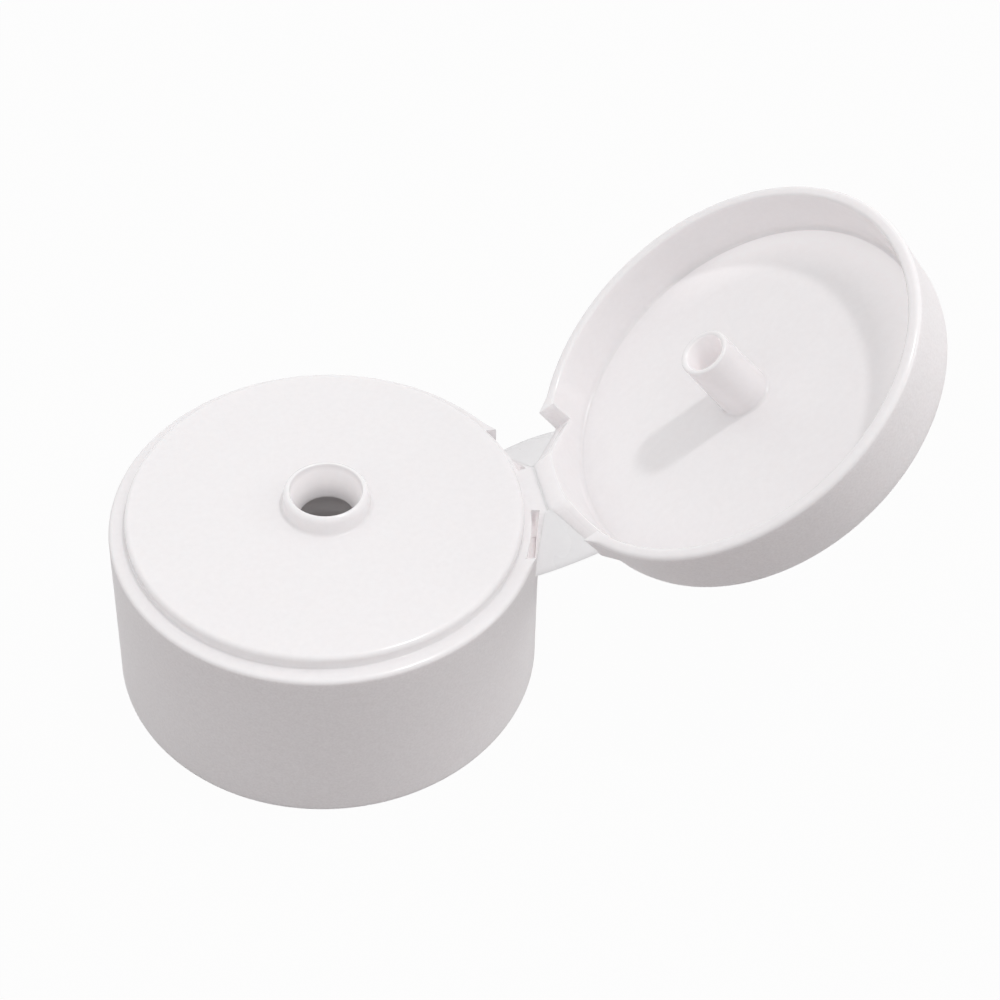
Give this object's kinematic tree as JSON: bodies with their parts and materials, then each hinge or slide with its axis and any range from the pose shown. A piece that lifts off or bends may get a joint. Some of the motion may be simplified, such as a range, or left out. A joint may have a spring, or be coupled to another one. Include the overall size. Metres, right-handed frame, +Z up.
{
  "type": "flip top cap",
  "caption": "Screw-on dispensing closure with a round skirt, a nozzle in its deck and a lid on a butterfly snap hinge, shown standing open.",
  "frame": {"origin": "on the closure's axis, in the plane of the foot of its skirt, at the mouth of the neck socket", "axes": "+Z up along the closure's axis from the neck towards the nozzle, +X towards the hinge and the open lid, +Y along the hinge to the left wing"},
  "size_m": [0.0762, 0.0416, 0.0444],
  "materials": {
    "white_polypropylene": "gloss",
    "hinge_film": "satin"
  },
  "bodies": {
    "base": {"base": "white_polypropylene"},
    "lid": {"lid": "white_polypropylene"},
    "wing_left": {"hinge_wing_left": "hinge_film"},
    "wing_right": {"hinge_wing_right": "hinge_film"}
  },
  "joints": [
    {"name": "lid_hinge", "type": "hinge", "parent": "base", "child": "lid", "pos_m": [0.02062, 0, 0.01805], "axis": [0, 1, 0], "range_deg": [-139, 0]},
    {"name": "wing_left_fold", "type": "hinge", "parent": "base", "child": "wing_left", "pos_m": [0.02062, 0.0029, 0.01805], "axis": [-0.3193, 0.8284, -0.4603], "range_deg": [-80, 0]},
    {"name": "wing_right_fold", "type": "hinge", "parent": "base", "child": "wing_right", "pos_m": [0.02062, -0.0029, 0.01805], "axis": [-0.3193, -0.8284, -0.4603], "range_deg": [0, 80]}
  ],
  "couplings": [
    {"joint": "wing_left_fold", "follows": "lid_hinge", "ratio": 0.57474},
    {"joint": "wing_right_fold", "follows": "lid_hinge", "ratio": -0.57474}
  ]
}
